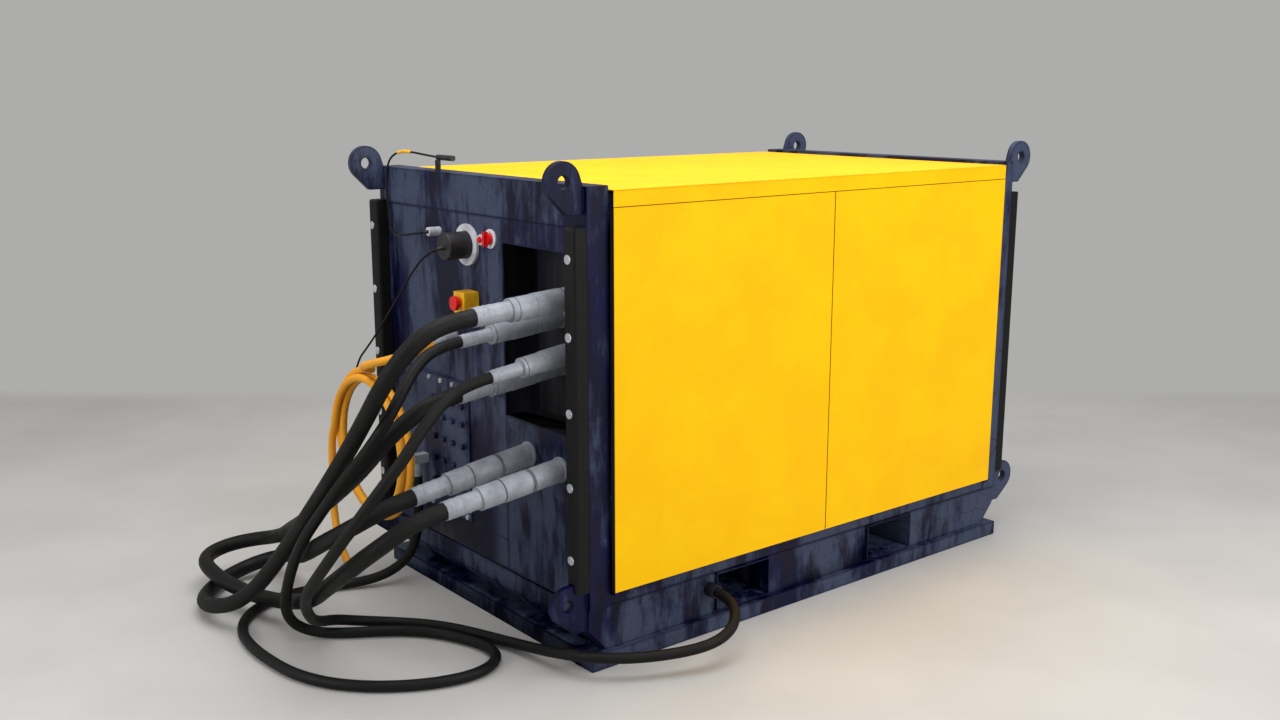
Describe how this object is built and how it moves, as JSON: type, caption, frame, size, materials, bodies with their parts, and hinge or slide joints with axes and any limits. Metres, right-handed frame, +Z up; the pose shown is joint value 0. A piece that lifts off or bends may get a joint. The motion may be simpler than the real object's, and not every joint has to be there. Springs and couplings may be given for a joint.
{
  "type": "hydraulic power unit",
  "caption": "Containerised hydraulic power unit in a lifting frame with padeyes, fork pockets, hinged side doors, an end connection panel and hoses.",
  "frame": {"origin": "centre of the skid's underside, on the floor", "axes": "+Z up; X along the long sides, with the hose connection end at -X; -Y is the front long side with two doors"},
  "size_m": [3.7507, 2.263, 1.9929],
  "materials": {
    "navy_paint": "worn gloss paint",
    "yellow_paint": "semi-gloss paint",
    "grey_coupling": "satin",
    "black_rubber": "matte",
    "hose_rubber": "semi-matte",
    "yellow_rubber": "satin",
    "zinc_steel": "bright zinc",
    "machine_steel": "machined",
    "cast_grey": "painted casting",
    "motor_paint": "gloss paint",
    "aluminium": "satin",
    "black_plastic": "satin",
    "red_plastic": "gloss",
    "white_plastic": "satin",
    "yellow_plastic": "gloss"
  },
  "bodies": {
    "frame": {"skid_frame": "navy_paint", "base_beams": "navy_paint", "fork_pockets": "navy_paint", "deck_plate": "navy_paint", "corner_posts": "navy_paint", "end_beams": "navy_paint", "side_rails": "navy_paint", "upper_padeyes": "navy_paint", "lower_padeyes": "navy_paint", "corner_fenders": "black_rubber", "fender_bolts": "zinc_steel", "control_panel": "navy_paint", "side_panels": "navy_paint", "manifold_panel": "navy_paint", "coupling_bulkhead": "navy_paint", "manifold_fittings": "zinc_steel", "rear_end_panel": "navy_paint", "roof_lid": "yellow_paint", "door_pivots": "navy_paint", "panel_rings": "white_plastic", "socket_plug": "black_plastic", "estop_box": "yellow_plastic", "cable_plug": "white_plastic", "cable_bracket": "black_plastic", "coupling_bodies": "grey_coupling", "hose_fittings": "grey_coupling", "yellow_coil": "yellow_rubber", "motor_housing": "motor_paint", "bellhousing": "cast_grey", "hydraulic_pump": "cast_grey", "oil_tank": "motor_paint", "filler_cap": "black_plastic", "return_filter": "aluminium", "oil_cooler": "aluminium", "fan_shroud": "black_plastic", "valve_manifold": "machine_steel", "control_cabinet": "white_plastic", "hose_1": "hose_rubber", "hose_2": "hose_rubber", "hose_3": "hose_rubber", "hose_4": "hose_rubber", "yellow_hose": "yellow_rubber", "control_cable": "black_rubber", "beacon_cable": "black_rubber"},
    "door_front_left": {"front_door_left": "yellow_paint"},
    "door_front_right": {"front_door_right": "yellow_paint"},
    "door_rear_left": {"rear_door_left": "yellow_paint"},
    "door_rear_right": {"rear_door_right": "yellow_paint"},
    "reset": {"reset_button": "red_plastic"},
    "isolator": {"isolator_knob": "red_plastic"},
    "estop": {"estop_button": "red_plastic"},
    "rotor": {"motor_rotor": "machine_steel"},
    "fan": {"cooler_fan": "black_plastic"},
    "lever": {"valve_lever": "machine_steel"},
    "collar_1": {"coupling_collar_1": "grey_coupling"},
    "collar_2": {"coupling_collar_2": "grey_coupling"},
    "collar_3": {"coupling_collar_3": "grey_coupling"},
    "collar_4": {"coupling_collar_4": "grey_coupling"},
    "collar_5": {"coupling_collar_5": "grey_coupling"},
    "collar_6": {"coupling_collar_6": "grey_coupling"}
  },
  "joints": [
    {"name": "front_door_left_hinge", "type": "hinge", "parent": "frame", "child": "door_front_left", "pos_m": [-1.175, -0.818, 1.066], "axis": [0, 0, -1], "range_deg": [0, 110]},
    {"name": "front_door_right_hinge", "type": "hinge", "parent": "frame", "child": "door_front_right", "pos_m": [1.175, -0.818, 1.066], "axis": [0, 0, 1], "range_deg": [0, 110]},
    {"name": "rear_door_left_hinge", "type": "hinge", "parent": "frame", "child": "door_rear_left", "pos_m": [-1.175, 0.818, 1.066], "axis": [0, 0, 1], "range_deg": [0, 110]},
    {"name": "rear_door_right_hinge", "type": "hinge", "parent": "frame", "child": "door_rear_right", "pos_m": [1.175, 0.818, 1.066], "axis": [0, 0, -1], "range_deg": [0, 110]},
    {"name": "reset_push", "type": "slide", "parent": "frame", "child": "reset", "axis": [1, 0, 0], "range_m": [0, 0.006], "stiffness_N_per_m": 400},
    {"name": "estop_push", "type": "slide", "parent": "frame", "child": "estop", "axis": [1, 0, 0], "range_m": [0, 0.008], "stiffness_N_per_m": 800},
    {"name": "isolator_turn", "type": "hinge", "parent": "frame", "child": "isolator", "pos_m": [-1.32, -0.146, 1.65], "axis": [-1, 0, 0], "range_deg": [0, 90]},
    {"name": "lever_swing", "type": "hinge", "parent": "frame", "child": "lever", "pos_m": [-0.83, -0.3, 1.227], "axis": [0, 0, 1], "range_deg": [0, 90]},
    {"name": "motor_spin", "type": "hinge", "parent": "frame", "child": "rotor", "pos_m": [-0.11, -0.15, 0.65], "axis": [1, 0, 0], "continuous": true},
    {"name": "fan_spin", "type": "hinge", "parent": "frame", "child": "fan", "pos_m": [1.055, 0, 1.3], "axis": [1, 0, 0], "continuous": true},
    {"name": "collar_1_slide", "type": "slide", "parent": "frame", "child": "collar_1", "axis": [0.9981, 0, 0.0619], "range_m": [0, 0.012], "stiffness_N_per_m": 300},
    {"name": "collar_2_slide", "type": "slide", "parent": "frame", "child": "collar_2", "axis": [0.9961, 0, 0.0881], "range_m": [0, 0.012], "stiffness_N_per_m": 300},
    {"name": "collar_3_slide", "type": "slide", "parent": "frame", "child": "collar_3", "axis": [0.9916, 0, 0.1296], "range_m": [0, 0.012], "stiffness_N_per_m": 300},
    {"name": "collar_4_slide", "type": "slide", "parent": "frame", "child": "collar_4", "axis": [0.9926, 0, 0.1215], "range_m": [0, 0.012], "stiffness_N_per_m": 300},
    {"name": "collar_5_slide", "type": "slide", "parent": "frame", "child": "collar_5", "axis": [0.9898, 0, 0.1427], "range_m": [0, 0.012], "stiffness_N_per_m": 300},
    {"name": "collar_6_slide", "type": "slide", "parent": "frame", "child": "collar_6", "axis": [0.9934, 0, 0.115], "range_m": [0, 0.012], "stiffness_N_per_m": 300}
  ]
}
